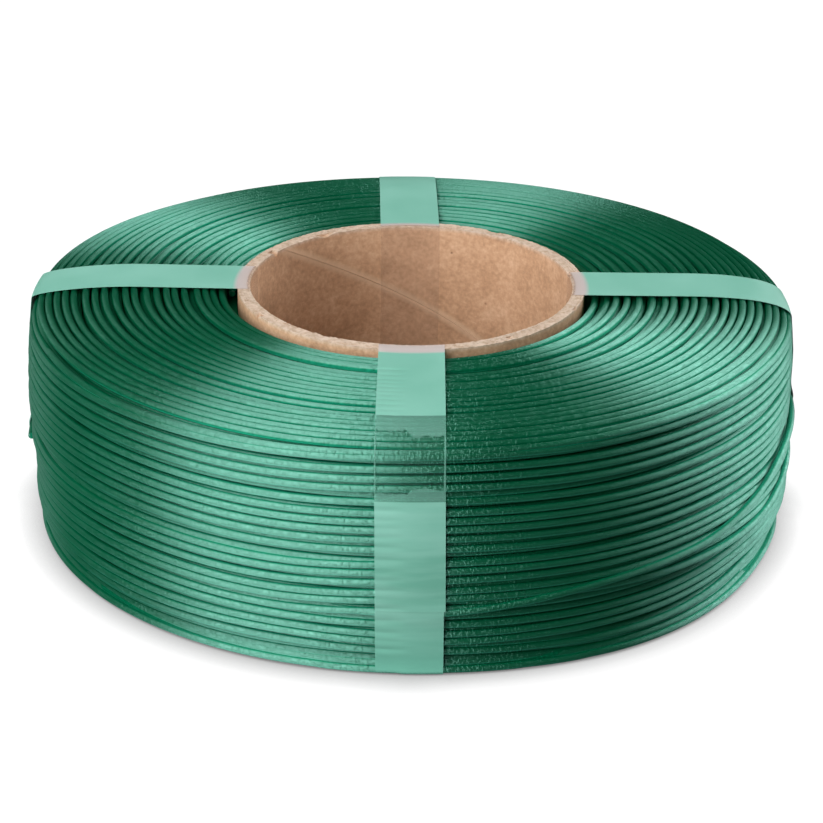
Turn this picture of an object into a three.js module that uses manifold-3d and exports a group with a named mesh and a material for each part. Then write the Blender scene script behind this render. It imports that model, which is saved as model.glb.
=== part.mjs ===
// A refill coil of 3D-printing filament: one length of filament wound on a spiral-wound paper core
// and bound by four strips of film tape. It lies flat, with its axis upright along Z, and its origin
// is the centre of the footprint that it rests on. Sizes are millimetres.

import * as THREE from 'three';
import { mergeVertices } from 'three/addons/utils/BufferGeometryUtils.js';
import Module from 'manifold-3d';

const wasm = await Module();
wasm.setup();

// ---- Driving dimensions ----

// Paper core, wound from strips of board that are glued one over the other.
const coreInnerDiameter = 80;
const coreLength = 58;
const plyCount = 5;
const plyThickness = 0.52;
const glueLine = 0.1;
const seamGap = 0.6;
const seamLead = 132;
const linerSeamAzimuth = -123.9;

// Wound filament.
const coilDiameter = 191;
const sideBulge = 1.7;
const filamentDiameter = 1.75;
const turnGap = 0.5;
const shoulderRun = 24;
const shoulderDrop = 5;
const crestRun = 14;
const coreProud = 1.8;
const packEdgeRadius = 1.95;

// Film tape.
const tapeWidth = 15;
const tapeThickness = 0.2;
const overlapFoot = 18;
const overlapHead = 45;
const overlapRamp = 5;

// Free space between pieces that touch on the real object.
const fitClearance = 0.3;

// ---- Sizes that follow from them ----

const coreInnerRadius = coreInnerDiameter / 2;
const coreWall = plyCount * plyThickness + (plyCount - 1) * glueLine;
const coreOuterRadius = coreInnerRadius + coreWall;
const coreBottom = tapeThickness + fitClearance;
const coreTop = coreBottom + coreLength;
const coilRadius = coilDiameter / 2;
const filamentRadius = filamentDiameter / 2;
const edgeRadius = packEdgeRadius + fitClearance + filamentDiameter;
const sideEndRadius = coilRadius - sideBulge;
const edgeCentreRadius = sideEndRadius - edgeRadius;
const edgeCentreHeight = coreBottom + edgeRadius;
const shoulderStart = sideEndRadius - shoulderRun;
const sideTop = coreTop - shoulderDrop;
const sideMiddle = (sideTop + edgeCentreHeight) / 2;
const sideHalf = (sideTop - edgeCentreHeight) / 2;

// ---- Mesh resolution ----

const ringSegments = 48;
const stepsPerTurn = 24;
const tubeSides = 6;
const shoulderSteps = 8;
const edgeSteps = 4;
const sideSteps = 6;
const seamStepDegrees = 8;
const tapeColumns = 4;
const tapeStep = 12;

// ---- Colours ----

const boardColour = 0xb98d68;
const filamentColour = 0x14694c;
const tapeColour = 0x8cc9b4;

// ---- Shared geometry helpers ----

// Azimuth 0 is the front of the coil, -Y, and azimuth 90 its right side, +X.
function pointAt(radius, azimuth, height) {
  return new THREE.Vector3(radius * Math.sin(azimuth), -radius * Math.cos(azimuth), height);
}

function ringGeometry(profile, segments) {
  const points = profile.map(([radius, height]) => new THREE.Vector2(radius, height));
  points.push(points[0].clone());
  // LatheGeometry turns about Y, so the ring is stood up to turn about Z.
  return new THREE.LatheGeometry(points, segments).rotateX(Math.PI / 2);
}

// Joins rings of points into one closed body. Each end is closed by a ladder of quads between the
// first half of its ring and the second half.
function sweptBody(rings) {
  const count = rings[0].length;
  const triangles = [];
  const addQuad = (a, b, c, d) => triangles.push(a, b, c, a, c, d);
  for (let i = 0; i + 1 < rings.length; i++) {
    for (let j = 0; j < count; j++) {
      const next = (j + 1) % count;
      addQuad(i * count + j, i * count + next, (i + 1) * count + next, (i + 1) * count + j);
    }
  }
  const last = (rings.length - 1) * count;
  for (let j = 0; j + 1 < count / 2; j++) {
    const opposite = count - 1 - j;
    addQuad(j, opposite, opposite - 1, j + 1);
    addQuad(last + j, last + j + 1, last + opposite - 1, last + opposite);
  }
  const geometry = new THREE.BufferGeometry();
  const positions = rings.flat().flatMap((point) => point.toArray());
  geometry.setAttribute('position', new THREE.Float32BufferAttribute(positions, 3));
  geometry.setIndex(triangles);
  geometry.computeVertexNormals();
  return geometry;
}

function toSolid(geometry) {
  const bare = geometry.clone();
  bare.deleteAttribute('normal');
  bare.deleteAttribute('uv');
  const merged = mergeVertices(bare, 1e-4);
  return new wasm.Manifold(new wasm.Mesh({
    numProp: 3,
    vertProperties: new Float32Array(merged.attributes.position.array),
    triVerts: new Uint32Array(merged.index.array),
  }));
}

function fromSolid(solid) {
  const mesh = solid.getMesh();
  const geometry = new THREE.BufferGeometry();
  geometry.setAttribute('position', new THREE.Float32BufferAttribute(mesh.vertProperties, 3));
  geometry.setIndex(Array.from(mesh.triVerts));
  geometry.computeVertexNormals();
  return geometry;
}

function namedMesh(name, geometry, material) {
  const mesh = new THREE.Mesh(geometry, material);
  mesh.name = name;
  return mesh;
}

// ---- Paper core ----

// The slot that a ply's butt seam leaves: it climbs round the wall once in every seamLead of height.
function seamTool(innerRadius, outerRadius, topAzimuth) {
  const margin = 2;
  const low = coreBottom - margin;
  const high = coreTop + margin;
  const radiansPerHeight = 2 * Math.PI / seamLead;
  const span = (high - low) * radiansPerHeight;
  const steps = Math.ceil(span / THREE.MathUtils.degToRad(seamStepDegrees));
  const rings = [];
  for (let i = 0; i <= steps; i++) {
    const height = low + (high - low) * i / steps;
    const azimuth = topAzimuth + (height - coreTop) * radiansPerHeight;
    const half = seamGap / 2 / innerRadius;
    rings.push([
      pointAt(innerRadius - margin, azimuth - half, height),
      pointAt(outerRadius + margin, azimuth - half, height),
      pointAt(outerRadius + margin, azimuth + half, height),
      pointAt(innerRadius - margin, azimuth + half, height),
    ]);
  }
  return sweptBody(rings);
}

function corePly(index) {
  const innerRadius = coreInnerRadius + index * (plyThickness + glueLine);
  const outerRadius = innerRadius + plyThickness;
  const wall = ringGeometry([
    [innerRadius, coreBottom],
    [outerRadius, coreBottom],
    [outerRadius, coreTop],
    [innerRadius, coreTop],
  ], ringSegments);
  // The seams of neighbouring plies are set round from each other, so that none lies on the next.
  const topAzimuth = THREE.MathUtils.degToRad(linerSeamAzimuth + index * 360 / plyCount);
  const slot = seamTool(innerRadius, outerRadius, topAzimuth);
  return fromSolid(toSolid(wall).subtract(toSolid(slot)));
}

// ---- Wound filament ----

// The side swells by sideBulge between the bottom edge and the shoulder.
function sideRadius(height) {
  const share = (height - sideMiddle) / sideHalf;
  return coilRadius - sideBulge * share * share;
}

// The centre-line of the outer layer in section: round the bottom edge, then up the side.
const windingBendRadius = edgeRadius - filamentRadius;
const windingBendLength = windingBendRadius * Math.PI / 2;
const windingLength = windingBendLength + sideTop - edgeCentreHeight;
const windingTurns = Math.floor(windingLength / (filamentDiameter + turnGap));

function windingSection(distance) {
  if (distance > windingBendLength) {
    const height = edgeCentreHeight + distance - windingBendLength;
    return { radius: sideRadius(height) - filamentRadius, height };
  }
  const bend = distance / windingBendRadius;
  return {
    radius: edgeCentreRadius + windingBendRadius * Math.sin(bend),
    height: edgeCentreHeight - windingBendRadius * Math.cos(bend),
  };
}

// Both ends of the layer lie under the left strap and run straight for one diameter.
function windingCentreLine() {
  const startAzimuth = -Math.PI / 2;
  const steps = windingTurns * stepsPerTurn;
  const points = [];
  for (let i = 0; i <= steps; i++) {
    const { radius, height } = windingSection(windingLength * i / steps);
    points.push(pointAt(radius, startAzimuth + 2 * Math.PI * i / stepsPerTurn, height));
  }
  const straightOn = (end, before) => {
    const around = new THREE.Vector3(-end.y, end.x, 0).normalize();
    const onward = Math.sign(around.dot(end.clone().sub(before)));
    return end.clone().addScaledVector(around, onward * filamentDiameter);
  };
  points.unshift(straightOn(points[0], points[1]));
  points.push(straightOn(points[points.length - 1], points[points.length - 2]));
  return points;
}

function windingTube(centreLine) {
  const up = new THREE.Vector3(0, 0, 1);
  const rings = centreLine.map((point, i) => {
    const before = centreLine[Math.max(i - 1, 0)];
    const after = centreLine[Math.min(i + 1, centreLine.length - 1)];
    const along = after.clone().sub(before).normalize();
    const across = new THREE.Vector3().crossVectors(along, up).normalize();
    const below = new THREE.Vector3().crossVectors(along, across);
    const ring = [];
    for (let j = 0; j < tubeSides; j++) {
      const turn = 2 * Math.PI * j / tubeSides;
      ring.push(point.clone()
        .addScaledVector(across, filamentRadius * Math.cos(turn))
        .addScaledVector(below, filamentRadius * Math.sin(turn)));
    }
    return ring;
  });
  return sweptBody(rings);
}

// The least free space between two turns, measured on points a turn or so apart along the tube.
function leastTurnGap(centreLine) {
  const points = [];
  for (let i = 0; i + 1 < centreLine.length; i++) {
    points.push(centreLine[i], centreLine[i].clone().lerp(centreLine[i + 1], 0.5));
  }
  const farEnough = stepsPerTurn;
  let least = Infinity;
  for (let i = 0; i < points.length; i++) {
    for (let j = i + farEnough; j < points.length; j++) {
      least = Math.min(least, points[i].distanceTo(points[j]) - filamentDiameter);
    }
  }
  return least;
}

// All the layers under the outer one, as a plain ring. Above the outer layer the ring has the coil's
// full section, with its soft shoulder, its flat crest and the dip beside the core.
function packGeometry() {
  // The tube cuts straight from step to step, so the pack stays inside the middle of those steps.
  const chord = Math.cos(Math.PI / stepsPerTurn);
  const bore = coreOuterRadius + fitClearance;
  const underTurns = (radius) => (radius - filamentRadius) * chord - filamentRadius - fitClearance;
  const footRadius = edgeCentreRadius * chord - filamentRadius - fitClearance;
  const bendCentre = underTurns(sideEndRadius) - packEdgeRadius;
  const profile = [
    [bore, coreBottom],
    [footRadius, coreBottom],
    [footRadius, coreBottom + filamentDiameter + fitClearance],
  ];
  for (let i = 0; i < edgeSteps; i++) {
    const bend = Math.PI / 2 * i / edgeSteps;
    profile.push([
      bendCentre + packEdgeRadius * Math.sin(bend),
      edgeCentreHeight - packEdgeRadius * Math.cos(bend),
    ]);
  }
  for (let i = 0; i <= sideSteps; i++) {
    const height = edgeCentreHeight + (sideTop - edgeCentreHeight) * i / sideSteps;
    profile.push([underTurns(sideRadius(height)), height]);
  }
  const lip = filamentRadius + fitClearance;
  profile.push([underTurns(sideEndRadius), sideTop + lip]);
  const lipAngle = Math.asin(lip / shoulderDrop);
  for (let i = 0; i <= shoulderSteps; i++) {
    const angle = lipAngle + (Math.PI / 2 - lipAngle) * i / shoulderSteps;
    profile.push([
      shoulderStart + shoulderRun * Math.cos(angle),
      sideTop + shoulderDrop * Math.sin(angle),
    ]);
  }
  profile.push([shoulderStart - crestRun, coreTop]);
  profile.push([bore, coreTop - coreProud]);
  return ringGeometry(profile, ringSegments);
}

// ---- Film tape ----

// One point of a strap's route in section: where its inner face lies, and which way its outer face is.
function routePoint(radius, height, outR, outZ, offset) {
  const length = Math.hypot(outR, outZ);
  return {
    radius: radius + offset * outR / length,
    height: height + offset * outZ / length,
    outR: outR / length,
    outZ: outZ / length,
  };
}

function straightRun(from, to, outR, outZ, offset) {
  const length = Math.hypot(to[0] - from[0], to[1] - from[1]);
  const steps = Math.max(1, Math.ceil(length / tapeStep));
  const run = [];
  for (let i = 0; i <= steps; i++) {
    const share = i / steps;
    const radius = from[0] + (to[0] - from[0]) * share;
    const height = from[1] + (to[1] - from[1]) * share;
    run.push(routePoint(radius, height, outR, outZ, offset));
  }
  return run;
}

// Up or down the side, following its swell.
function sideRun(fromHeight, toHeight, offset) {
  const steps = Math.max(1, Math.ceil(sideSteps * Math.abs(toHeight - fromHeight) / sideHalf / 2));
  const run = [];
  for (let i = 0; i <= steps; i++) {
    const height = fromHeight + (toHeight - fromHeight) * i / steps;
    const lean = 2 * sideBulge * (height - sideMiddle) / (sideHalf * sideHalf);
    run.push(routePoint(sideRadius(height), height, 1, lean, offset));
  }
  return run;
}

// Round an edge, from the direction fromAngle to the direction toAngle, without its two end points.
function edgeTurn(radius, height, edge, fromAngle, toAngle, offset) {
  const turn = [];
  for (let i = 1; i < edgeSteps; i++) {
    const angle = fromAngle + (toAngle - fromAngle) * i / edgeSteps;
    const outR = Math.cos(angle);
    const outZ = Math.sin(angle);
    turn.push(routePoint(radius + edge * outR, height + edge * outZ, outR, outZ, offset));
  }
  return turn;
}

// Over the shoulder from the crest to the side, without its two end points.
function shoulderTurn(offset) {
  const turn = [];
  for (let i = 1; i < shoulderSteps; i++) {
    const angle = Math.PI / 2 * (1 - i / shoulderSteps);
    turn.push(routePoint(
      shoulderStart + shoulderRun * Math.cos(angle),
      sideTop + shoulderDrop * Math.sin(angle),
      Math.cos(angle) / shoulderRun,
      Math.sin(angle) / shoulderDrop,
      offset,
    ));
  }
  return turn;
}

// The tape starts on the side at overlapHead, goes down, under the coil, up through the bore and over
// the top, and ends at overlapFoot on its own start.
function tapeRoute() {
  const down = -Math.PI / 2;
  const inward = -Math.PI;
  const near = fitClearance;
  const over = near + tapeThickness + fitClearance;
  const rampTop = overlapHead + overlapRamp + fitClearance;
  return [
    ...sideRun(overlapHead, edgeCentreHeight, near),
    ...edgeTurn(edgeCentreRadius, edgeCentreHeight, edgeRadius, 0, down, near),
    ...straightRun([edgeCentreRadius, coreBottom], [coreInnerRadius, coreBottom], 0, -1, near),
    ...edgeTurn(coreInnerRadius, coreBottom, 0, down, inward, near),
    ...straightRun([coreInnerRadius, coreBottom], [coreInnerRadius, coreTop], -1, 0, near),
    ...edgeTurn(coreInnerRadius, coreTop, 0, -inward, -down, near),
    ...straightRun([coreInnerRadius, coreTop], [shoulderStart, coreTop], 0, 1, near),
    ...shoulderTurn(near),
    ...sideRun(sideTop, rampTop, near),
    ...sideRun(rampTop - overlapRamp, overlapFoot, over),
  ];
}

// The film bends round the coil across its width, so each crossing is an arc about the coil's axis.
function strapGeometry() {
  const rings = tapeRoute().map((place) => {
    const face = (offset, column) => {
      const radius = place.radius + offset * place.outR;
      const height = place.height + offset * place.outZ;
      const across = tapeWidth * (column / tapeColumns - 0.5);
      return pointAt(radius, across / radius, height);
    };
    const ring = [];
    for (let column = 0; column <= tapeColumns; column++) {
      ring.push(face(0, column));
    }
    for (let column = tapeColumns; column >= 0; column--) {
      ring.push(face(tapeThickness, column));
    }
    return ring;
  });
  return sweptBody(rings);
}

// ---- The coil ----

const group = new THREE.Group();

for (let index = 0; index < plyCount; index++) {
  const board = new THREE.MeshStandardMaterial({ color: boardColour, roughness: 0.9, metalness: 0 });
  group.add(namedMesh(`core_ply_${index + 1}`, corePly(index), board));
}

const packPlastic = new THREE.MeshStandardMaterial({
  color: filamentColour, roughness: 0.35, metalness: 0,
});
group.add(namedMesh('filament_pack', packGeometry(), packPlastic));

const outerPlastic = new THREE.MeshStandardMaterial({
  color: filamentColour, roughness: 0.35, metalness: 0,
});
const outerCentreLine = windingCentreLine();
group.add(namedMesh('filament_outer_layer', windingTube(outerCentreLine), outerPlastic));
console.log(`filament_outer_layer: ${windingTurns} turns, least gap between turns`,
  `${leastTurnGap(outerCentreLine).toFixed(3)} mm`);

const strapAzimuths = { front: 0, right: 90, back: 180, left: 270 };
for (const [side, azimuth] of Object.entries(strapAzimuths)) {
  const film = new THREE.MeshStandardMaterial({ color: tapeColour, roughness: 0.4, metalness: 0 });
  const strap = namedMesh(`strap_${side}`, strapGeometry(), film);
  strap.rotation.z = THREE.MathUtils.degToRad(azimuth);
  group.add(strap);
}

export default group;
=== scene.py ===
import math

import bpy
import numpy as np
from mathutils import Matrix, Quaternion, Vector


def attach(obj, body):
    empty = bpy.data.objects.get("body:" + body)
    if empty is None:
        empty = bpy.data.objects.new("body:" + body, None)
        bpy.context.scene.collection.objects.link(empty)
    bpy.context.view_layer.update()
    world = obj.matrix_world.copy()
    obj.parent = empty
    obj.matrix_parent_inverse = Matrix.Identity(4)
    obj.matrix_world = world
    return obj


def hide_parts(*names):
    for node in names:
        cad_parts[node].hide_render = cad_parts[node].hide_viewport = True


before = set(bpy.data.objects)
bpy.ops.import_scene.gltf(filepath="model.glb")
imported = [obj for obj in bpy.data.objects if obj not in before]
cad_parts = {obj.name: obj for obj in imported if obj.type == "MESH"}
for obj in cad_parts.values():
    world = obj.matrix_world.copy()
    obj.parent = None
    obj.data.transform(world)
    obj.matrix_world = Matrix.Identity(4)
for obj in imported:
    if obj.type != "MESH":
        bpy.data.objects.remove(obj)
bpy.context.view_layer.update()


# ---- Paper core ----
# The core is a tube of kraft board. Five strips are glued one over the other on a mandrel, each one
# wound edge to edge in a steep spiral, and the tube is sawn to length, which leaves a fuzzy pale rim.

MM = 0.001
core_inner_radius = 40 * MM
core_bottom = 0.5 * MM
core_top = 58.5 * MM
ply_count = 5
ply_pitch = 0.62 * MM
ply_thickness = 0.6 * MM
seam_lead = 132 * MM
seam_gap = 0.15 * MM
seam_lip = 1.1 * MM
seam_lift = 0.14 * MM
liner_seam_azimuth = -123.9
seam_step = 360 / ply_count
strip_turns = 2
strip_columns = 480
strip_rows = 24


def node_maker(material):
    """Adds a node to the material and sets its inputs: a value, or the output that feeds it."""
    tree = material.node_tree

    def add(kind, settings=None, **inputs):
        node = tree.nodes.new(kind)
        for key, value in (settings or {}).items():
            setattr(node, key, value)
        for key, value in inputs.items():
            slot = int(key[1:]) if key[1:].isdigit() else key.replace("_", " ")
            if isinstance(value, bpy.types.NodeSocket):
                tree.links.new(value, node.inputs[slot])
            else:
                node.inputs[slot].default_value = value
        return node

    return add


def srgb(red, green, blue):
    """A colour as it is read off a screen, 0 to 255, as the shader wants it."""
    def linear(c):
        c /= 255
        return c / 12.92 if c <= 0.04045 else ((c + 0.055) / 1.055) ** 2.4
    return linear(red), linear(green), linear(blue), 1.0


def grey(value):
    return value, value, value, 1.0


def math_node(add, operation, a, b=0.0, c=0.0):
    return add("ShaderNodeMath", {"operation": operation}, _0=a, _1=b, _2=c).outputs[0]


def ramp(add, factor, stops):
    node = add("ShaderNodeValToRGB", _0=factor)
    elements = node.color_ramp.elements
    while len(elements) < len(stops):
        elements.new(0.5)
    for element, (position, colour) in zip(elements, stops):
        element.position = position
        element.color = colour
    return node.outputs[0]


def ramp_by_mm(add, metres, reach, stops):
    """A ramp over a length that the material works out in metres. Its reach and stops are in mm."""
    factor = math_node(add, "MULTIPLY", metres, 1 / (reach * MM))
    return ramp(add, factor, [(place / reach, colour) for place, colour in stops])


def mix_colour(add, factor, a, b):
    return add("ShaderNodeMix", {"data_type": "RGBA"}, _0=factor, _6=a, _7=b).outputs[2]


def stretched_noise(add, where, scale, detail):
    """Noise with a scale of its own along each axis."""
    stretched = add("ShaderNodeMapping", _0=where, Scale=scale).outputs[0]
    return add("ShaderNodeTexNoise", Vector=stretched, Scale=1, Detail=detail).outputs[0]


def new_material(name):
    material = bpy.data.materials.new(name)
    material.use_nodes = True
    material.node_tree.nodes.clear()
    add = node_maker(material)
    output = add("ShaderNodeOutputMaterial")
    where = add("ShaderNodeTexCoord").outputs["Object"]
    return material, add, output, where


def kraft_board():
    material, add, output, where = new_material("kraft_board")
    height = add("ShaderNodeSeparateXYZ", _0=where).outputs[2]
    mottle = add("ShaderNodeTexNoise", Vector=where, Scale=90, Detail=5, Roughness=0.65).outputs[0]
    pulp = add("ShaderNodeTexNoise", Vector=where, Scale=900, Detail=3, Roughness=0.6).outputs[0]
    fibres = stretched_noise(add, where, (900, 900, 2600), 2)
    specks = add("ShaderNodeTexVoronoi", Vector=where, Scale=260).outputs[0]
    tone = math_node(add, "MULTIPLY_ADD", pulp, 0.45, math_node(add, "MULTIPLY", mottle, 0.55))
    colour = ramp(add, tone, [
        (0.30, srgb(161, 125, 95)), (0.50, srgb(195, 155, 122)), (0.68, srgb(216, 179, 147)),
    ])
    pale_fibre = ramp(add, fibres, [(0.66, grey(0)), (0.76, grey(1))])
    colour = mix_colour(add, math_node(add, "MULTIPLY", pale_fibre, 0.35), colour,
                        srgb(228, 198, 168))
    dark_speck = ramp(add, specks, [(0.05, grey(1)), (0.11, grey(0))])
    dark_speck = math_node(add, "MULTIPLY", dark_speck,
                           ramp(add, mottle, [(0.50, grey(0)), (0.60, grey(0.7))]))
    colour = mix_colour(add, dark_speck, colour, srgb(112, 78, 54))
    # The sawn rim is paler than the faces. The two edges that meet in a seam are paler too, partly in the
    # cut board's own colour and partly as a painted highlight along the seam's raised edge.
    from_seam = add("ShaderNodeAttribute", {"attribute_name": "from_seam"}).outputs[2]
    seam_edge_and_highlight = ramp_by_mm(add, from_seam, 3, [
        (0, grey(0.75)), (0.75, grey(0.55)), (1.8, grey(0)),
    ])
    colour = mix_colour(add, seam_edge_and_highlight, colour, srgb(214, 182, 152))
    half_length = (core_top - core_bottom) / 2
    from_middle = math_node(add, "ABSOLUTE", math_node(
        add, "SUBTRACT", height, core_bottom + half_length))
    from_end = math_node(add, "SUBTRACT", half_length, from_middle)
    rim = ramp_by_mm(add, from_end, 2, [(0, grey(0.85)), (0.5, grey(0.45)), (1.2, grey(0))])
    fuzz = ramp(add, pulp, [(0.35, srgb(182, 161, 140)), (0.6, srgb(212, 196, 180))])
    colour = mix_colour(add, rim, colour, fuzz)
    grain = math_node(add, "MULTIPLY_ADD", fibres, 0.5, pulp)
    bump = add("ShaderNodeBump", Strength=0.5, Distance=0.12 * MM, Height=grain).outputs[0]
    rough = ramp(add, pulp, [(0.3, grey(0.72)), (0.7, grey(0.92))])
    shader = add("ShaderNodeBsdfPrincipled", Base_Color=colour, Roughness=rough, Normal=bump)
    shader.inputs["Specular IOR Level"].default_value = 0.25
    material.node_tree.links.new(shader.outputs[0], output.inputs[0])
    return material


board = kraft_board()
# What the saw leaves at both ends: fuzz, waves and their number round the tube, and fibres that stand
# out from the wall. The sizes are in mm.
saw_fuzz = 0.07
saw_wave = 0.06
saw_waves = 7
fibre_reach = 0.03
# Places where the saw tore the rim: azimuth, width and depth of the nick, and the plies that it took.
rim_nicks = [
    (-146, 3.2, 0.7, (0, 1)), (-120, 1.6, 1.3, (0, 1, 2)), (-59, 1.4, 1.0, (3, 4)),
    (-30, 1.5, 0.5, (0,)), (68, 1.6, 0.6, (4,)), (100, 2.0, 0.7, (0, 1)), (150, 2.4, 0.6, (4,)),
    (34, 1.2, 0.5, (2, 3)), (-95, 2.0, 0.5, (4,)),
]
saw = np.random.default_rng(11)


def azimuth_of(place):
    """Degrees round the coil, from 0 at the front, -Y, to 90 at the right, +X."""
    return math.degrees(math.atan2(place[0], -place[1]))


def select_vertices(piece, wanted):
    """Leaves the piece in edit mode with only the vertices selected for which wanted(place) holds."""
    bpy.ops.object.mode_set(mode="EDIT")
    bpy.ops.mesh.select_mode(type="VERT")
    bpy.ops.mesh.select_all(action="DESELECT")
    bpy.ops.object.mode_set(mode="OBJECT")
    for vertex in piece.data.vertices:
        vertex.select = bool(wanted(vertex.co))
    bpy.ops.object.mode_set(mode="EDIT")


def thicken(sheet, thickness, side):
    """Gives a sheet its thickness: outwards from its faces where side is 1, behind them where it is -1."""
    wall = sheet.modifiers.new("thickness", "SOLIDIFY")
    wall.thickness = thickness
    wall.offset = side
    wall.use_even_offset = False
    bpy.ops.object.modifier_apply(modifier="thickness")


def saw_ends(ply, index, radius):
    """The saw leaves the end a little wavy, fuzzy from fibre to fibre, and torn in places."""
    at_end = 0.02 * MM
    for vertex in ply.data.vertices:
        top = core_top - vertex.co.z < at_end
        if not (top or vertex.co.z - core_bottom < at_end):
            continue
        azimuth = azimuth_of(vertex.co)
        wave = 1 + math.sin(math.radians(azimuth * saw_waves + 50 * index))
        depth = abs(saw.normal(0, saw_fuzz)) + saw_wave * wave
        for place, width, nick, plies in rim_nicks if top else ():
            if index in plies:
                across = math.radians(azimuth - place) * radius / MM
                depth += nick * math.exp(-(2 * across / width) ** 2)
        vertex.co.z += (-depth if top else depth) * MM
        out = 1 + saw.normal(0, fibre_reach) * MM / radius
        vertex.co.x *= out
        vertex.co.y *= out


def mark_seam(ply, top_azimuth):
    """Writes how far each point is from the butt seam, which the board's material reads."""
    slope = math.cos(math.atan2(seam_lead, 2 * math.pi * core_inner_radius))
    away = []
    for vertex in ply.data.vertices:
        past = math.radians(azimuth_of(vertex.co)) - top_azimuth
        rise = vertex.co.z - core_top - seam_lead * past / (2 * math.pi)
        rise = (rise + seam_lead / 2) % seam_lead - seam_lead / 2
        away.append(abs(rise) * slope)
    ply.data.attributes.new("from_seam", "FLOAT", "POINT").data.foreach_set("value", away)


def wind_ply(index):
    """One strip of board wound in its spiral, cut off at both ends and given its thickness."""
    radius = core_inner_radius + index * ply_pitch
    top_azimuth = math.radians(liner_seam_azimuth + index * seam_step)
    # The strip's lower edge passes the tube's top where the seam starts, two turns above its foot.
    foot = core_top - strip_turns * seam_lead + seam_gap / 2
    strip = seam_lead - seam_gap
    bpy.ops.object.select_all(action="DESELECT")
    bpy.ops.mesh.primitive_plane_add(
        size=strip, rotation=(math.pi / 2, 0, top_azimuth),
        location=(0, 0, foot + strip / 2))
    ply = bpy.context.object
    ply.name = ply.data.name = f"board_ply_{index + 1}"
    bpy.ops.object.transform_apply(location=True, rotation=True, scale=True)
    # Two corners go, and the edge that is left stands at the seam's place on the wall.
    along = np.array([math.cos(top_azimuth), math.sin(top_azimuth)])
    select_vertices(ply, lambda place: np.dot(place[:2], along) < 0)
    bpy.ops.mesh.delete(type="VERT")
    bpy.ops.object.mode_set(mode="OBJECT")
    for vertex in ply.data.vertices:
        vertex.co.x = radius * math.sin(top_azimuth)
        vertex.co.y = -radius * math.cos(top_azimuth)
    bpy.ops.object.mode_set(mode="EDIT")
    bpy.ops.mesh.select_all(action="SELECT")
    bpy.ops.mesh.subdivide(number_cuts=strip_rows - 1)
    bpy.ops.object.mode_set(mode="OBJECT")
    # A narrow row at each edge of the strip lets the upper edge lift where it meets the next turn.
    for vertex in ply.data.vertices:
        row = round((vertex.co.z - foot) / strip * strip_rows)
        if row == 1:
            vertex.co.z = foot + seam_lip
        elif row == strip_rows - 1:
            vertex.co.z = foot + strip - seam_lip
        elif row == strip_rows:
            vertex.co.x *= 1 - seam_lift / radius
            vertex.co.y *= 1 - seam_lift / radius
    screw = ply.modifiers.new("wind", "SCREW")
    screw.axis = "Z"
    screw.angle = 2 * math.pi
    screw.screw_offset = seam_lead
    screw.iterations = strip_turns
    screw.steps = screw.render_steps = strip_columns
    screw.use_merge_vertices = False
    bpy.ops.object.modifier_apply(modifier="wind")
    for height, down in ((core_top, False), (core_bottom, True)):
        bpy.ops.object.mode_set(mode="EDIT")
        bpy.ops.mesh.select_all(action="SELECT")
        bpy.ops.mesh.bisect(plane_co=(0, 0, height), plane_no=(0, 0, 1), threshold=1e-7,
                            clear_outer=not down, clear_inner=down)
        bpy.ops.object.mode_set(mode="OBJECT")
    # The screw leaves the faces pointing at the bore.
    bpy.ops.object.mode_set(mode="EDIT")
    bpy.ops.mesh.select_all(action="SELECT")
    bpy.ops.mesh.flip_normals()
    bpy.ops.mesh.remove_doubles(threshold=0.1 * MM)
    bpy.ops.object.mode_set(mode="OBJECT")
    thicken(ply, ply_thickness, 1)
    saw_ends(ply, index, radius)
    bpy.ops.object.shade_smooth_by_angle(angle=math.radians(40))
    mark_seam(ply, top_azimuth)
    ply.data.materials.append(board)
    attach(ply, "root")
    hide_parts(f"core_ply_{index + 1}")


for index in range(ply_count):
    wind_ply(index)


# ---- Wound filament ----
# One length of extruded plastic filament, 1.75 mm thick, wound to and fro on the core until the coil is
# full. Its side turns are the last layer, and the faces show the turns where each layer reversed.

filament_diameter = 1.75 * MM
filament_radius = filament_diameter / 2
core_outer_radius = core_inner_radius + (ply_count - 1) * ply_pitch + ply_thickness
core_gap = 0.3 * MM
coil_radius = 95.5 * MM
coil_bottom = 0.3 * MM
side_bulge = 1.7 * MM
foot_bend = 1.1 * MM
shoulder_run = 25 * MM
crest_height = 58.5 * MM
crest_width = 14 * MM
crest_dip = 1.3 * MM
turn_steps = 192
first_azimuth = -90.0
skin_points = 260
# How many points draw each part of the coil's outline, and where the corner at the foot, the side, and
# the shoulder with the crest lie among them.
bottom_points = 60
bend_points = 40
side_points = 70
crest_points = 12
dip_points = 20
corner_span = slice(bottom_points, bottom_points + bend_points - 1)
side_span = slice(corner_span.stop, corner_span.stop + side_points - 1)
shoulder_span = slice(side_span.stop, side_span.stop + bend_points + crest_points - 2)
# The side's swells and dents begin at the first radius. A strand past the second is one of the side's.
swell_radius = 80 * MM
side_radius = 85 * MM
# Where the shoulder sags or stands up: azimuth, reach in degrees, and how many mm lower it lies.
shoulder_sags = [(180, 32, 1.1), (-85, 25, -0.6), (122, 30, -0.6), (-125, 30, -0.5)]


def bell(value, middle, width):
    return np.exp(-((value - middle) / width) ** 2)


def bell_round(azimuth, middle, width):
    """A bell in degrees round the coil, whichever way is shorter."""
    return bell((azimuth - middle + 180) % 360 - 180, 0, width)


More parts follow.
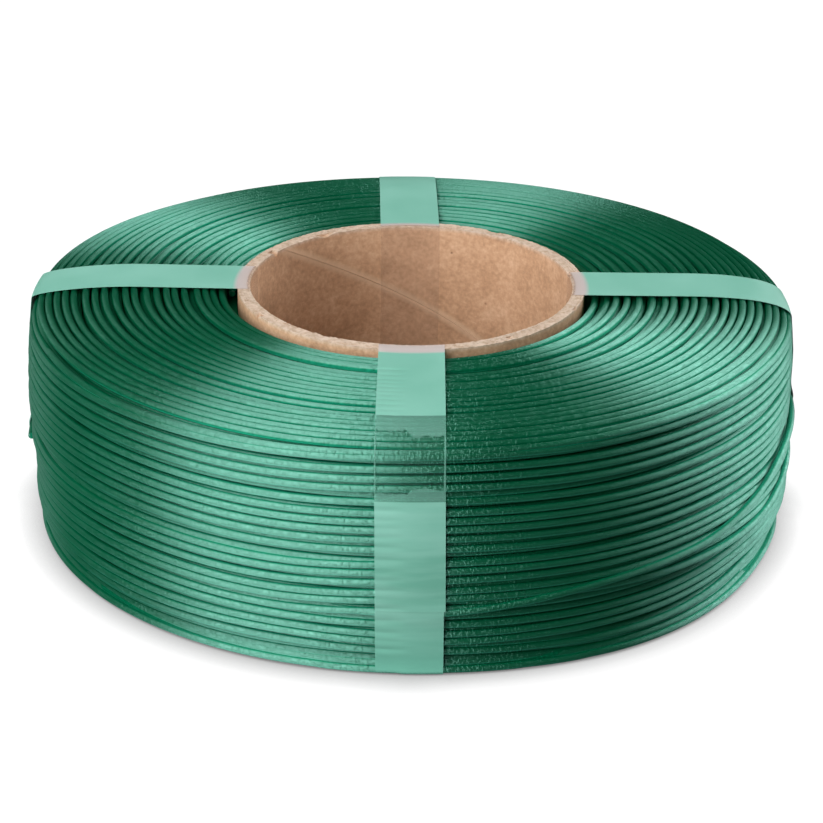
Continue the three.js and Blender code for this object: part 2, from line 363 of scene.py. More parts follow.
# The last turn of the filament, its tail, comes up between the others at the front, climbs across them
# on the right, and ends behind the left strap. The turn before it has slipped out beside it. For each of
# the two: azimuths, the heights of its centre there, and how far that lies outside the side, in mm.
loose_strands = [
    ([-30, -14, -5, 5, 13, 22, 30, 38, 46, 52, 60, 68, 75, 82, 90, 120, 180, 240, 270, 279],
     [17.4, 17.2, 17.0, 17.0, 18.1, 19.7, 20.6, 21.0, 21.4, 22.8, 25.4, 28.8, 30.8, 31.8, 32.4,
      32, 28, 24, 21.5, 21],
     [-4, -3, -1, -0.6, -0.3, 0.1, 0.4, 0.5, 0.6, 0.6, 0.6, 0.7, 0.7, 0.3, -0.4,
      -0.2, 0.2, 0.2, 0.6, 0.7]),
    ([8, 16, 22, 30, 38, 46, 52, 60, 66, 72, 80, 90, 112],
     [18.4, 19.0, 19.2, 18.7, 17.8, 17.5, 17.4, 17.9, 18.8, 20.4, 22.4, 23.5, 24],
     [-2.4, -1.4, -0.9, -0.4, -0.1, 0.1, 0.3, 0.4, 0.35, 0.15, -0.5, -1.5, -3.4]),
]


def loose_place(strand, azimuth):
    """Height of a loose strand's centre at an azimuth and how far it lies outside the side, in metres."""
    azimuths, heights, lifts = strand
    reach = np.arange(-4, 4.1, 1)
    soft = bell(reach, 0, 3)
    height = np.sum(np.interp(azimuth + reach, azimuths, heights) * soft) / soft.sum()
    lift = np.sum(np.interp(azimuth + reach, azimuths, lifts) * soft) / soft.sum()
    return height * MM, lift * MM


def coil_skin(azimuth):
    """The coil's outline in section at an azimuth, in metres: radius and height from the foot of the core
    out along the bottom face, up the side, over the shoulder and back in to the core."""
    right, front = math.sin(math.radians(azimuth)), math.cos(math.radians(azimuth))
    askew = math.sin(math.radians(2 * azimuth))
    drop = 5.0 - 1.7 * front + 0.9 * right - 0.6 * askew
    for place, reach, sag in shoulder_sags:
        drop += sag * bell_round(azimuth, place, reach)
    side_top = core_top - drop * MM
    squareness = 1.95 + 0.35 * right
    end_radius = coil_radius - side_bulge - 0.3 * MM * askew
    swing = np.linspace(0, math.pi / 2, bend_points)
    bottom_r = np.linspace(core_outer_radius + core_gap, end_radius - foot_bend, bottom_points)
    corner_r = end_radius - foot_bend + foot_bend * np.sin(swing)
    corner_z = coil_bottom + foot_bend - foot_bend * np.cos(swing)
    side_z = np.linspace(coil_bottom + foot_bend, side_top, side_points)
    middle = (side_z[0] + side_z[-1]) / 2
    half = (side_z[-1] - side_z[0]) / 2
    side_r = end_radius + side_bulge * (1 - ((side_z - middle) / half) ** 2)
    shoulder_start = end_radius - shoulder_run
    shoulder_r = shoulder_start + shoulder_run * np.cos(swing) ** (2 / squareness)
    shoulder_z = side_top + (crest_height - side_top) * np.sin(swing) ** (2 / squareness)
    crest_r = np.linspace(shoulder_start, shoulder_start - crest_width, crest_points)
    dip_r = np.linspace(crest_r[-1], core_outer_radius + core_gap, dip_points)
    dip_z = crest_height - crest_dip * np.linspace(0, 1, dip_points) ** 1.5
    r = np.concatenate([bottom_r, corner_r[1:], side_r[1:], shoulder_r[1:], crest_r[1:], dip_r[1:]])
    z = np.concatenate([np.full(bottom_points, coil_bottom), corner_z[1:], side_z[1:],
                        shoulder_z[1:], np.full(crest_points - 1, crest_height), dip_z[1:]])
    # The turns at the foot of the side have slipped outwards at the lower right, and lie in elsewhere.
    at_foot = bell(z, 1.5 * MM, 6 * MM) * np.clip((r - 72 * MM) / (18 * MM), 0, 1)
    slipped = 2.4 * bell_round(azimuth, 38, 24) - 1.3 + right ** 2
    r = r + slipped * MM * at_foot
    # On the left the side has sunk a little over its lower half, and on the right it is fuller.
    dent = bell_round(azimuth, -90, 20) * bell(z, 19 * MM, 7.5 * MM)
    full = (0.8 * bell_round(azimuth, 68, 12) * bell(z, 12 * MM, 6 * MM)
            + 0.55 * bell_round(azimuth, 79, 9))
    r = r + (full - 1.1 * dent) * MM * (r > swell_radius)
    # From the right round the back to the left, the turns under the tail are sunk.
    past = (azimuth + 90) % 360 - 90
    sunk = np.clip((past - 62) / 16, 0, 1)
    tail_height, _ = loose_place(loose_strands[0], past)
    r = r - 0.8 * MM * sunk * bell(z, tail_height, 9 * MM) * (r > swell_radius)
    return r, z


def run_along(r, z):
    """How far along an outline each of its points lies."""
    return np.concatenate([[0], np.cumsum(np.hypot(np.diff(r), np.diff(z)))])


class Skin:
    """The coil's outline at every step round it, each resampled evenly along its length."""

    def __init__(self, steps):
        self.steps = steps
        self.share = np.linspace(0, 1, skin_points)
        self.r, self.z, self.out_r, self.out_z, self.length = [], [], [], [], []
        for azimuth in first_azimuth + 360 * np.arange(steps) / steps:
            r, z = coil_skin(azimuth)
            along = run_along(r, z)
            self.length.append(along[-1])
            r = np.interp(self.share * along[-1], along, r)
            z = np.interp(self.share * along[-1], along, z)
            dr, dz = np.gradient(r), np.gradient(z)
            size = np.hypot(dr, dz)
            self.r.append(r)
            self.z.append(z)
            self.out_r.append(dz / size)
            self.out_z.append(-dr / size)

    def at(self, column, share, depth):
        """Radius and height of points a depth under the outline, at shares of its length."""
        r, z, out_r, out_z = (np.interp(share, self.share, table[column % self.steps])
                              for table in (self.r, self.z, self.out_r, self.out_z))
        return r - depth * out_r, z - depth * out_z


skin = Skin(turn_steps)
skin_length = float(np.mean(skin.length))


def smooth_noise(random, count, spread):
    """Random numbers of unit size that change slowly, over about spread steps."""
    reach = int(4 * spread)
    kernel = bell(np.arange(-reach, reach + 1), 0, spread * math.sqrt(2))
    raw = np.convolve(random.normal(size=count + 2 * reach), kernel, mode="valid")
    return raw / math.sqrt(np.sum(kernel ** 2))


def lay_turns(turns, slack):
    """How far along the outline each step of the spiral lies. Each turn lies one diameter and some slack
    past the turn before, and the slack is scaled so that every azimuth has the same turns."""
    steps = turn_steps
    first = filament_diameter + float(slack[0])
    room = skin_length - 2 * filament_radius - first - (turns - 1) * filament_diameter
    total = np.array([slack[t:(turns - 1) * steps:steps].sum() for t in range(steps)])
    scale = room / total
    along = np.empty(turns * steps + 1)
    along[:steps] = first * np.arange(steps) / steps
    for i in range(steps, turns * steps + 1):
        before = i - steps
        along[i] = along[before] + filament_diameter + slack[before] * scale[before % steps]
    return (along + filament_radius) / skin_length


turns = 59
spiral_points = turns * turn_steps + 1
mean_slack = 0.82 * MM
least_slack = 0.03 * MM
end_slack = 0.8 * MM
wander = np.random.default_rng(49)
slack = np.exp(0.95 * smooth_noise(wander, spiral_points, 0.2 * turn_steps))
slack = slack / slack.mean() * mean_slack + least_slack
# Towards the first turn and the last one the slack evens out.
steps_in = np.arange(spiral_points)
from_end = np.minimum(steps_in, (turns - 1) * turn_steps - steps_in)
slack = end_slack + (slack - end_slack) * np.clip(from_end / (0.5 * turn_steps), 0, 1)


def turn_near(share, azimuth, height):
    """The turn whose strand at this azimuth lies nearest to this height on the side."""
    column = int(round(((azimuth - first_azimuth) % 360) / 360 * turn_steps)) % turn_steps
    r, z = skin.at(column, share[column::turn_steps], filament_radius)
    on_side = np.where(r > side_radius, np.abs(z - height), 1)
    return int(np.argmin(on_side))


def open_gap(turn, middle, reach, size, squareness):
    """Adds slack above a turn, in a stretch of so many degrees either way round middle."""
    start = turn + ((middle - first_azimuth) % 360) / 360
    u = np.arange(spiral_points) / turn_steps
    slack[:] += size * np.exp(-np.abs((u - start) * 360 / reach) ** squareness)


# The wide gap at the lower right and two narrower ones. For each: azimuth and height in mm of the turn
# under it, azimuth of its middle, its reach in degrees, its size in mm, and how square its ends are.
gaps = [(22, 14.1, 25, 34, 3.3, 4), (5, 11.4, 3, 22, 1.3, 2), (-42, 10.5, -42, 22, 1.8, 2)]
share = lay_turns(turns, slack)
for azimuth, height, middle, reach, size, squareness in gaps:
    open_gap(turn_near(share, azimuth, height * MM), middle, reach, size * MM, squareness)
share = lay_turns(turns, slack)

# One turn lies in the corner at the foot of the side all the way round. The others keep clear of it, so
# the turns on the bottom face end beside it and those on the side start above it.
corner_rise = 0.35 * MM
corner = []
for column in range(turn_steps):
    rising = skin.z[column] > coil_bottom + corner_rise
    corner.append(skin.share[np.argmax(rising)])
corner = np.array(corner)[np.arange(spiral_points) % turn_steps]
away = (share - corner) * skin_length
clear = filament_diameter + 0.05 * MM
clear_reach = 16 * MM
pushed = clear + np.abs(away) * (1 - clear / clear_reach)
share = np.where(np.abs(away) < clear_reach, corner + np.sign(away) * pushed / skin_length, share)
bottom_end = int(np.argmax(away > 0)) / turn_steps
side_end = turn_near(share, -90, 51.5 * MM)


def strand_points(share, depth, u_from, u_to):
    """Centre-line points of the spiral between two places on it, counted in turns."""
    points = []
    for i in range(round(u_from * turn_steps), round(u_to * turn_steps) + 1):
        r, z = skin.at(i % turn_steps, share[i], depth[i])
        azimuth = math.radians(first_azimuth + 360 * (i / turn_steps))
        points.append((r * math.sin(azimuth), -r * math.cos(azimuth), z))
    return points


def side_at(azimuth, height):
    """Radius of the coil's side at an azimuth and height."""
    r, z = coil_skin(azimuth)
    return float(np.interp(height, z[side_span], r[side_span]))


def loose_points(strand):
    points = []
    for azimuth in np.arange(strand[0][0], strand[0][-1] + 0.1, 360 / turn_steps):
        height, lift = loose_place(strand, azimuth)
        r = side_at(azimuth, height) + lift
        a = math.radians(azimuth)
        points.append((r * math.sin(a), -r * math.cos(a), height))
    return points


def mark_crown(strand, sides):
    """Writes how squarely each point of a strand faces out of the coil, from 1 on its crown to 0 at its
    sides, which the plastic's material reads to paint shade on the strand's sides."""
    places = np.empty(len(strand.data.vertices) * 3, np.float32)
    strand.data.vertices.foreach_get("co", places)
    rings = places.reshape(-1, sides, 3)
    centres = rings.mean(1)
    radii = np.hypot(centres[:, 0], centres[:, 1])
    azimuths = np.degrees(np.arctan2(centres[:, 0], -centres[:, 1]))
    columns = np.round((azimuths - first_azimuth) % 360 / 360 * turn_steps).astype(int) % turn_steps
    nearest = np.argmin((np.array(skin.r)[columns] - radii[:, None]) ** 2
                        + (np.array(skin.z)[columns] - centres[:, 2:]) ** 2, 1)
    out_r = np.array(skin.out_r)[columns, nearest] / radii
    # A turn in the corner at the foot of the side counts as one of the side's.
    out_z = np.array(skin.out_z)[columns, nearest]
    out_z = np.where(out_z > -0.9, np.maximum(out_z, 0), out_z)
    outward = np.column_stack([out_r * centres[:, 0], out_r * centres[:, 1], out_z])
    outward /= np.linalg.norm(outward, axis=1, keepdims=True)
    crown = np.einsum("rsk,rk->rs", rings - centres[:, None], outward) / filament_radius
    strand.data.attributes.new("crown", "FLOAT", "POINT").data.foreach_set(
        "value", crown.astype(np.float32).ravel())


def wind_strand(name, runs, sides):
    """A length of filament along each run of points, as one closed tube to each run."""
    curve = bpy.data.curves.new(name, "CURVE")
    curve.dimensions = "3D"
    curve.twist_mode = "Z_UP"
    curve.bevel_depth = filament_radius
    curve.bevel_resolution = (sides - 4) // 2
    curve.use_fill_caps = True
    for run in runs:
        line = curve.splines.new("POLY")
        line.points.add(len(run) - 1)
        line.points.foreach_set("co", np.hstack([np.array(run), np.ones((len(run), 1))]).ravel())
        line.use_smooth = True
    strand = bpy.data.objects.new(name, curve)
    bpy.context.scene.collection.objects.link(strand)
    bpy.ops.object.select_all(action="DESELECT")
    bpy.context.view_layer.objects.active = strand
    strand.select_set(True)
    bpy.ops.object.convert(target="MESH")
    strand = bpy.context.object
    strand.data.name = name
    bpy.ops.object.shade_smooth_by_angle(angle=math.radians(60))
    mark_crown(strand, sides)
    return strand


def green_plastic():
    material, add, output, where = new_material("green_plastic")
    grain = add("ShaderNodeTexNoise", Vector=where, Scale=1500, Detail=2, Roughness=0.6).outputs[0]
    drift = add("ShaderNodeTexNoise", Vector=where, Scale=60, Detail=2).outputs[0]
    colour = ramp(add, drift, [(0.3, srgb(0, 78, 49)), (0.7, srgb(2, 84, 54))])
    # A lighter green is painted along the strand's underside, a painted glow for the light that the
    # plastic lets through and gathers there.
    facing = add("ShaderNodeNewGeometry").outputs["Normal"]
    down = math_node(add, "MULTIPLY", add("ShaderNodeSeparateXYZ", _0=facing).outputs[2], -1.0)
    painted_underside_glow = ramp(add, down, [(0.10, grey(0)), (0.22, grey(1)), (0.5, grey(1)), (0.66, grey(0))])
    colour = mix_colour(add, painted_underside_glow, colour, srgb(30, 132, 102))
    bumps = ramp(add, grain, [(0.48, grey(0)), (0.64, grey(1))])
    bump = add("ShaderNodeBump", Strength=1.0, Distance=0.05 * MM, Height=bumps).outputs[0]
    rough = ramp(add, grain, [(0.3, grey(0.42)), (0.7, grey(0.62))])
    # On the strand's sides the gloss is painted a darker, deeper green: painted shade for where light
    # bounces to and fro between two strands.
    crown = add("ShaderNodeAttribute", {"attribute_name": "crown"}).outputs[2]
    groove_shade_tint = ramp(add, crown, [(0.30, (0.03, 0.54, 0.33, 1)), (0.60, (0.43, 1.0, 0.83, 1))])
    # The die leaves fine streaks along the strand, so its gloss spreads across it.
    around = add("ShaderNodeVectorMath", {"operation": "CROSS_PRODUCT"},
                 _0=(0.0, 0.0, 1.0), _1=where).outputs[0]
    shader = add("ShaderNodeBsdfPrincipled", Base_Color=colour, Roughness=rough, Normal=bump,
                 Tangent=around, Specular_Tint=groove_shade_tint)
    shader.inputs["Anisotropic"].default_value = 1.0
    shader.inputs["Anisotropic Rotation"].default_value = 0.25
    shader.inputs["IOR"].default_value = 2.3
    shader.inputs["Specular IOR Level"].default_value = 1.0
    material.node_tree.links.new(shader.outputs[0], output.inputs[0])
    return material


plastic = green_plastic()


def finish_strand(strand, node):
    strand.data.materials.append(plastic)
    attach(strand, "root")
    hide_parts(node)


# A strand with room beside it settles a little between the strands of the layer below.
settled = np.clip(0.22 * slack, 0, 0.45 * MM)
uneven = 0.12 * MM * np.abs(smooth_noise(wander, spiral_points, 0.1 * turn_steps))
depth = filament_radius + settled + uneven
side_run = strand_points(share, depth, bottom_end, side_end)
corner_run = strand_points(corner, np.full(spiral_points, filament_radius), 0, 1 - 1 / turn_steps)
loose_runs = [loose_points(strand) for strand in loose_strands]
side_turns = wind_strand("filament_side_turns", [side_run, corner_run] + loose_runs, 10)
finish_strand(side_turns, "filament_outer_layer")
top_turns = wind_strand("filament_top_turns", [strand_points(share, depth, side_end, turns)], 8)
finish_strand(top_turns, "filament_pack")
bottom_turns = wind_strand("filament_bottom_turns",
                           [strand_points(share, depth, 0, bottom_end - 1 / turn_steps)], 8)
finish_strand(bottom_turns, "filament_pack")

# The layer below shows in the gaps. Its turns lie closer.
under_turns = 76
under_points = under_turns * turn_steps + 1
under_share = lay_turns(under_turns, np.full(under_points, 0.2 * MM))
under_depth = np.full(under_points, filament_radius + 1.55 * MM)
under = wind_strand("filament_under_turns",
                    [strand_points(under_share, under_depth, 0, under_turns)], 8)
finish_strand(under, "filament_pack")

# The rest of the coil's depth, under the two layers that the gaps show. Its section is drawn point by
# point, closed and spun round the axis.
inset = 3.4 * MM
pack_inner = core_outer_radius + core_gap
pack_end = coil_radius - side_bulge - inset
pack_belly = coil_radius - 0.6 * MM - inset
pack_top = core_top - inset
section = [
    (pack_inner, coil_bottom + inset), (pack_end, coil_bottom + inset),
    (pack_belly, 14 * MM), (pack_belly, 40 * MM), (pack_end, pack_top - 7 * MM),
    (84 * MM, pack_top - 3.4 * MM), (72 * MM, pack_top - 1 * MM), (56 * MM, pack_top),
    (pack_inner, pack_top - 2 * MM),
]
bpy.ops.object.select_all(action="DESELECT")
bpy.ops.mesh.primitive_plane_add(size=1 * MM)
pack = bpy.context.object
pack.name = pack.data.name = "filament_inner_turns"
bpy.ops.object.mode_set(mode="EDIT")
bpy.ops.mesh.select_all(action="SELECT")
bpy.ops.mesh.merge(type="CENTER")
bpy.ops.transform.translate(value=(section[0][0], 0, section[0][1]))
for (r, z), (next_r, next_z) in zip(section, section[1:]):
    bpy.ops.mesh.extrude_vertices_move(
        TRANSFORM_OT_translate={"value": (next_r - r, 0, next_z - z)})
bpy.ops.mesh.select_all(action="SELECT")
bpy.ops.mesh.edge_face_add()
bpy.ops.mesh.delete(type="ONLY_FACE")
bpy.ops.mesh.select_all(action="SELECT")
bpy.ops.mesh.spin(steps=96, angle=2 * math.pi, center=(0, 0, 0), axis=(0, 0, 1))
bpy.ops.mesh.select_all(action="SELECT")
bpy.ops.mesh.remove_doubles(threshold=0.01 * MM)
bpy.ops.mesh.normals_make_consistent(inside=False)
bpy.ops.object.mode_set(mode="OBJECT")
finish_strand(pack, "filament_pack")


# ---- Film tape ----
# Four strips of frosted packing film, about 15 mm wide, hold the turns together. Each goes once round the
# coil's section, through the bore and over the rim, and sticks to its own start on the side.

tape_width = 15.5 * MM
tape_length = 250 * MM
tape_thickness = 0.07 * MM
tape_columns = 10
tape_step = 0.36 * MM
rim_bend = 0.5 * MM
film_clearance = 0.05 * MM
layer_lift = 0.12 * MM
overlap_head = 44.8 * MM
overlap_foot = 18 * MM
overlap_climb = 5 * MM
route_points = 1400
# Each strip strays a little sideways along its way: how far along, and how far to the right, in mm.
tape_strays = {
    "front": ([0, 0.12, 0.2, 0.86, 1], [0.15, 0.36, 0.5, 0.12, 0.6]),
    "right": ([0, 0.2, 0.86, 1], [0.3, 0.1, 0, -0.2]),
    "back": ([0, 0.2, 0.6, 0.86, 1], [0.6, 0.9, 0.3, 1.7, 1.4]),
    "left": ([0, 0.2, 0.45, 0.62, 0.86, 1], [-1.6, -1.2, -1.0, -1.8, -3.2, -2.7]),
}


def strand_places(azimuth):
    """How far along the outline the strands lie at an azimuth, in metres."""
    past = ((azimuth - first_azimuth) % 360) / 360
    at = (np.arange(turns) + past) * turn_steps
    return np.interp(at, np.arange(spiral_points), share) * skin_length


def tape_route(azimuth):
    """The tape's way round the coil's section, as rows of radius, height, the layer that it lies on and
    the place along the coil's outline, or -1 where it doesn't lie on the turns."""
    r, z = coil_skin(azimuth)
    along = run_along(r, z)
    along *= skin_length / along[-1]
    rows = []

    def follow(radii, heights, layer=0, places=None):
        places = np.full(len(radii), -1.0) if places is None else places
        rows.append(np.column_stack([radii, heights, np.full(len(radii), layer), places]))

    def follow_back(span):
        follow(r[span][::-1], z[span][::-1], 0, along[span][::-1])

    def down_the_side(high, low, layer=0):
        heights = np.linspace(high, low, 40)
        follow(np.interp(heights, z[side_span], r[side_span]), heights, layer,
               np.interp(heights, z[side_span], along[side_span]))

    side_foot, side_head = z[side_span.start], z[side_span.stop - 1]
    face_end, dip_start = corner_span.start - 1, shoulder_span.stop
    bend = np.linspace(0, math.pi / 2, 6)
    low, high, edge, inner = coil_bottom, core_top, rim_bend, core_inner_radius
    down_the_side(overlap_head, side_foot)
    follow_back(corner_span)
    follow(np.linspace(r[face_end], core_outer_radius, 40), np.full(40, z[face_end]))
    follow(inner + edge - edge * np.sin(bend), low + edge - edge * np.cos(bend))
    follow(np.full(30, inner), np.linspace(low + edge, high - edge, 32)[1:-1])
    follow(inner + edge - edge * np.cos(bend), high - edge + edge * np.sin(bend))
    follow(np.linspace(inner + edge, r[dip_start], 24)[1:], np.linspace(high, crest_height, 24)[1:])
    follow_back(shoulder_span)
    down_the_side(side_head, overlap_head + overlap_climb)
    down_the_side(overlap_head, overlap_foot, 1)
    return np.vstack(rows)


def lie_of_film(azimuth):
    """The film's own way at an azimuth, as distances along it, radii and heights. It is drawn down a
    little between two strands and rises over a loose one."""
    route = tape_route(azimuth)
    step = np.hypot(np.diff(route[:, 0]), np.diff(route[:, 1]))
    route = route[np.concatenate([[True], step > 1e-7])]
    run = run_along(route[:, 0], route[:, 1])
    fine = np.linspace(0, run[-1], route_points)
    r, z, layer, place = (np.interp(fine, run, route[:, k]) for k in range(4))
    wound = np.interp(fine, run, (route[:, 3] > 0).astype(float))
    nearest = np.sort(np.abs(place[:, None] - strand_places(azimuth)[None, :]), 1)
    gap = nearest[:, 0] + nearest[:, 1]
    sag = 0.05 * MM + 0.11 * np.clip(gap - filament_diameter, 0, 1.2 * MM)
    dip = sag * (nearest[:, 0] / np.maximum(gap / 2, 1e-6)) ** 2
    flat_lift = film_clearance + layer_lift * layer
    lift = flat_lift - dip * wound
    past = (azimuth + 90) % 360 - 90
    past = past + 360 if past < -30 else past
    for strand in loose_strands:
        height, out = loose_place(strand, past)
        if out + filament_radius > 0:
            over = bell(z, height, 2.6 * MM) * (r > side_radius)
            lift = np.maximum(lift, (out + filament_radius) * over + flat_lift)
    tr, tz = np.gradient(r), np.gradient(z)
    size = np.maximum(np.hypot(tr, tz), 1e-12)
    out_r, out_z = -tz / size, tr / size
    return fine, r + lift * out_r, z + lift * out_z


def faces_out(tape):
    tape.data.update()
    side = [f for f in tape.data.polygons
            if math.hypot(f.center.x, f.center.y) > 90 * MM and 20 * MM < f.center.z < 40 * MM]
    return sum(f.normal.x * f.center.x + f.normal.y * f.center.y for f in side) > 0


def wrap_tape(side_name, azimuth):
    """A strip cut flat, then laid along its route column by column."""
    bpy.ops.object.select_all(action="DESELECT")
    bpy.ops.mesh.primitive_grid_add(
        x_subdivisions=tape_columns, y_subdivisions=round(tape_length / tape_step), size=1)
    tape = bpy.context.object
    tape.name = tape.data.name = f"film_tape_{side_name}"
    tape.scale = (tape_width, tape_length, 1)
    bpy.ops.object.transform_apply(location=True, rotation=True, scale=True)
    flat = np.array([v.co for v in tape.data.vertices])
    laid = np.zeros_like(flat)
    for across in np.unique(np.round(flat[:, 0], 6)):
        column = np.abs(flat[:, 0] - across) < 1e-5
        along_tape = flat[column, 1] / tape_length + 0.5
        run, r, z = lie_of_film(azimuth + math.degrees(across / coil_radius))
        at = along_tape * run[-1]
        r, z = np.interp(at, run, r), np.interp(at, run, z)
        # It is a little narrower at its start, where it was pulled.
        width = np.interp(along_tape, [0.3, 0.45], [0.985, 1])
        stray = np.interp(along_tape, *tape_strays[side_name]) * MM
        a = math.radians(azimuth) + (across * width + stray) / r
        laid[column] = np.column_stack([r * np.sin(a), -r * np.cos(a), z])
    tape.data.vertices.foreach_set("co", laid.ravel())
    thicken(tape, tape_thickness, 1 if faces_out(tape) else -1)
    bpy.ops.object.shade_smooth_by_angle(angle=math.radians(60))
    tape.data.materials.append(film)
    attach(tape, "root")
    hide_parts(f"strap_{side_name}")


def step_at(add, value, edge, width):
    """0 below the edge and 1 above it, in metres, with a slope of the given width between the two."""
    from_edge = math_node(add, "SUBTRACT", value, edge)
    shifted = math_node(add, "MULTIPLY_ADD", from_edge, 1 / width, 0.5)
    return add("ShaderNodeClamp", _0=shifted).outputs[0]


def frosted_film():
    material, add, output, where = new_material("frosted_film")
    x, y, z = add("ShaderNodeSeparateXYZ", _0=where).outputs
    radius = math_node(add, "SQRT", math_node(
        add, "MULTIPLY_ADD", x, x, math_node(add, "MULTIPLY", y, y)))
    ripple = stretched_noise(add, where, (60, 60, 420), 3)
    patchy = stretched_noise(add, where, (800, 800, 1200), 4)
    # It is nearly clear in the bore, milky over the rim, and mint where it meets the turns, which at
    # the front is further out from the core. Towards its foot it is greener.
    colour = ramp_by_mm(add, radius, 100, [
        (40.2, srgb(190, 160, 138)), (41.0, srgb(226, 216, 214)),
    ])
    opaque = ramp_by_mm(add, radius, 100, [
        (40.15, grey(0.05)), (40.4, grey(0.36)), (43.6, grey(0.55)),
    ])
    from_turns = math_node(add, "MULTIPLY_ADD", y, 0.036, math_node(add, "ADD", radius, 0.8 * MM))
    on_turns = ramp_by_mm(add, from_turns, 100, [(43.7, grey(0)), (44.9, grey(1))])
    mint = ramp(add, ripple, [(0.3, srgb(127, 192, 172)), (0.7, srgb(139, 200, 182))])
    foot = ramp_by_mm(add, z, 100, [(4, grey(1)), (15, grey(0))])
    mint = mix_colour(add, foot, mint, srgb(133, 213, 189))
    colour = mix_colour(add, on_turns, colour, mint)
    opaque = mix_colour(add, on_turns, opaque, grey(0.92))
    # At the front the film has wetted out on the turns above its own start, where it is nearly clear.
    # The clear patch has ragged edges and is a little shorter on its right half. Round it the film is
    # thinly milky.
    front = math_node(add, "LESS_THAN", y, -60 * MM)
    on_right = step_at(add, x, 0.3 * MM, 1.2 * MM)
    ragged_z = math_node(add, "MULTIPLY_ADD", patchy, 2.4 * MM,
                         math_node(add, "SUBTRACT", z, 1.2 * MM))
    ragged_r = math_node(add, "MULTIPLY_ADD", patchy, 3.6 * MM,
                         math_node(add, "SUBTRACT", radius, 1.8 * MM))
    low_edge = math_node(add, "MULTIPLY_ADD", on_right, 1.1 * MM, 46.7 * MM)
    high_edge = math_node(add, "MULTIPLY_ADD", on_right, 2.0 * MM, 86.2 * MM)
    clear = math_node(add, "MULTIPLY", step_at(add, ragged_z, low_edge, 0.3 * MM), math_node(
        add, "MULTIPLY", step_at(add, ragged_r, high_edge, 0.8 * MM), front))
    thin = math_node(add, "MULTIPLY", step_at(add, z, overlap_head, 0.2 * MM), math_node(
        add, "MULTIPLY", step_at(add, radius, 79.5 * MM, 0.4 * MM), front))
    opaque = mix_colour(add, thin, opaque, grey(0.28))
    # The cut edges of the film stay a little paler than the rest of the clear part.
    from_middle = math_node(add, "ABSOLUTE", math_node(add, "SUBTRACT", x, 0.1 * MM))
    cut_edge = step_at(add, from_middle, 7.42 * MM, 0.2 * MM)
    opaque = mix_colour(add, clear, opaque, mix_colour(add, cut_edge, grey(0.02), grey(0.3)))
    # A painted shadow darkens the line where the film starts under its own end, and below it painted shade
    # darkens the film where the turns press through.
    start_shadow = ramp_by_mm(add, z, 100, [
        (44.5, grey(0)), (44.7, grey(0.5)), (44.9, grey(0.5)), (45.2, grey(0)),
    ])
    pressed_shade = ramp_by_mm(add, z, 100, [
        (19, grey(0.1)), (22, grey(0.4)), (32, grey(0.3)), (36, grey(0)),
    ])
    pressed_shade = math_node(add, "MULTIPLY", pressed_shade,
                        ramp(add, ripple, [(0.35, grey(1)), (0.6, grey(0.4))]))
    shade = math_node(add, "MULTIPLY", front, math_node(add, "MAXIMUM", start_shadow, pressed_shade))
    colour = mix_colour(add, shade, colour, srgb(84, 158, 134))
    bump = add("ShaderNodeBump", Strength=0.25, Distance=0.05 * MM, Height=ripple).outputs[0]
    rough = ramp(add, ripple, [(0.3, grey(0.34)), (0.7, grey(0.5))])
    shader = add("ShaderNodeBsdfPrincipled", Base_Color=colour, Roughness=rough, Normal=bump,
                 Alpha=opaque)
    shader.inputs["Specular IOR Level"].default_value = 0.25
    material.node_tree.links.new(shader.outputs[0], output.inputs[0])
    return material


film = frosted_film()
for side_name, azimuth in (("front", 0), ("right", 90), ("back", 180), ("left", 270)):
    wrap_tape(side_name, azimuth)


# ---- Stage ----
# The camera stands where the photo was taken from, in front of the coil and above it. The coil lies on a
# white floor in white surroundings, lit by a large soft box in front on the left, a smaller one behind
# on the right, and a low strip behind on the left.

camera_data = bpy.data.cameras.new("camera")
camera = bpy.data.objects.new("camera", camera_data)
bpy.context.scene.collection.objects.link(camera)
bpy.context.scene.camera = camera
camera_data.sensor_width = 36
camera_data.lens = 109.52
camera_data.clip_start = 0.05
# How far it stands from the middle of the coil's foot, how steeply it looks down, and the small turns
# that put the coil where it is in the photo. The angles are in radians.
distance = 0.6461
tilt = 0.45874
swing, pitch, roll = 0.00064, 0.03272, 0.01082
ahead = Vector((0, math.cos(tilt), -math.sin(tilt)))
above = Vector((0, math.sin(tilt), math.cos(tilt)))
aside = Vector((1, 0, 0))
ahead, above = (ahead * math.cos(pitch) + above * math.sin(pitch),
                above * math.cos(pitch) - ahead * math.sin(pitch))
ahead, aside = (ahead * math.cos(swing) + aside * math.sin(swing),
                aside * math.cos(swing) - ahead * math.sin(swing))
aside, above = (aside * math.cos(roll) + above * math.sin(roll),
                above * math.cos(roll) - aside * math.sin(roll))
camera.matrix_world = Matrix((
    (aside.x, above.x, -ahead.x, 0),
    (aside.y, above.y, -ahead.y, -distance * math.cos(tilt)),
    (aside.z, above.z, -ahead.z, distance * math.sin(tilt)),
    (0, 0, 0, 1)))


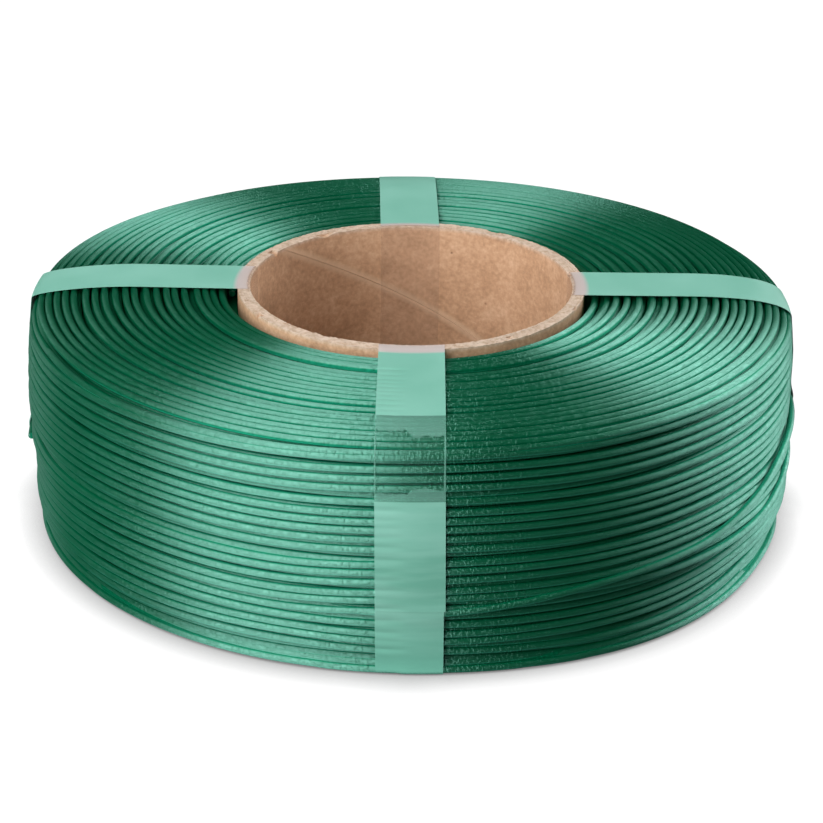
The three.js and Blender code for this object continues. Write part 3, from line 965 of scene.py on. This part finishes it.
def white_floor():
    """White to the camera, but for a painted shadow close to the coil, and dark to the coil itself."""
    painted_shadow_reach = 9 * MM
    open_white, painted_shadow_white = 0.99, 0.11
    material, add, output, _ = new_material("white_floor")
    path = add("ShaderNodeLightPath").outputs
    seen = math_node(add, "MULTIPLY_ADD", path["Is Glossy Ray"], 0.05, path["Is Camera Ray"])
    grey_base = mix_colour(add, path["Is Camera Ray"], grey(0.03), grey(0.08))
    matte = add("ShaderNodeBsdfDiffuse", Color=grey_base)
    # The painted shadow: the glow that the camera sees dims by ambient occlusion wherever the coil is
    # near.
    openness = add("ShaderNodeAmbientOcclusion", {"samples": 8}, Distance=painted_shadow_reach).outputs[1]
    white = math_node(add, "MULTIPLY_ADD", openness, open_white - painted_shadow_white, painted_shadow_white)
    glow = add("ShaderNodeEmission", Color=grey(1), Strength=math_node(add, "MULTIPLY", seen, white))
    both = add("ShaderNodeAddShader", _0=matte.outputs[0], _1=glow.outputs[0])
    material.node_tree.links.new(both.outputs[0], output.inputs[0])
    return material


bpy.ops.object.select_all(action="DESELECT")
bpy.ops.mesh.primitive_plane_add(size=6)
floor = bpy.context.object
floor.name = "floor"
floor.data.materials.append(white_floor())

# The surroundings are white to the camera and give the coil a faint light from all round.
world_light = 0.02
world = bpy.data.worlds.new("studio")
world.use_nodes = True
bpy.context.scene.world = world
world.node_tree.nodes.clear()
add = node_maker(world)
to_camera = add("ShaderNodeLightPath").outputs["Is Camera Ray"]
strength = math_node(add, "MULTIPLY_ADD", to_camera, 1 - world_light, world_light)
back = add("ShaderNodeBackground", Color=grey(1), Strength=strength)
add("ShaderNodeOutputWorld", _0=back.outputs[0])

lamp_distance = 0.75


def soft_box(name, azimuth, elevation, width, height, power, roll=0):
    """A rectangular lamp aimed at the coil's foot, turned by roll degrees in its own plane."""
    lamp = bpy.data.lights.new(name, "AREA")
    lamp.shape = "RECTANGLE"
    lamp.size = width
    lamp.size_y = height
    lamp.energy = power
    box = bpy.data.objects.new(name, lamp)
    bpy.context.scene.collection.objects.link(box)
    a, e = math.radians(azimuth), math.radians(elevation)
    towards = Vector((math.sin(a) * math.cos(e), -math.cos(a) * math.cos(e), math.sin(e)))
    box.location = towards * lamp_distance
    aim = (-towards).to_track_quat("-Z", "Y") @ Quaternion((0, 0, 1), math.radians(roll))
    box.rotation_euler = aim.to_euler()


soft_box("key_box", -39, 32, 0.77, 1.02, 10.7, 22)
soft_box("low_box", -132, 8, 0.36, 0.12, 0.4)
soft_box("right_box", 120, 30, 0.62, 0.64, 5.9)
bpy.context.scene.view_settings.view_transform = "Standard"
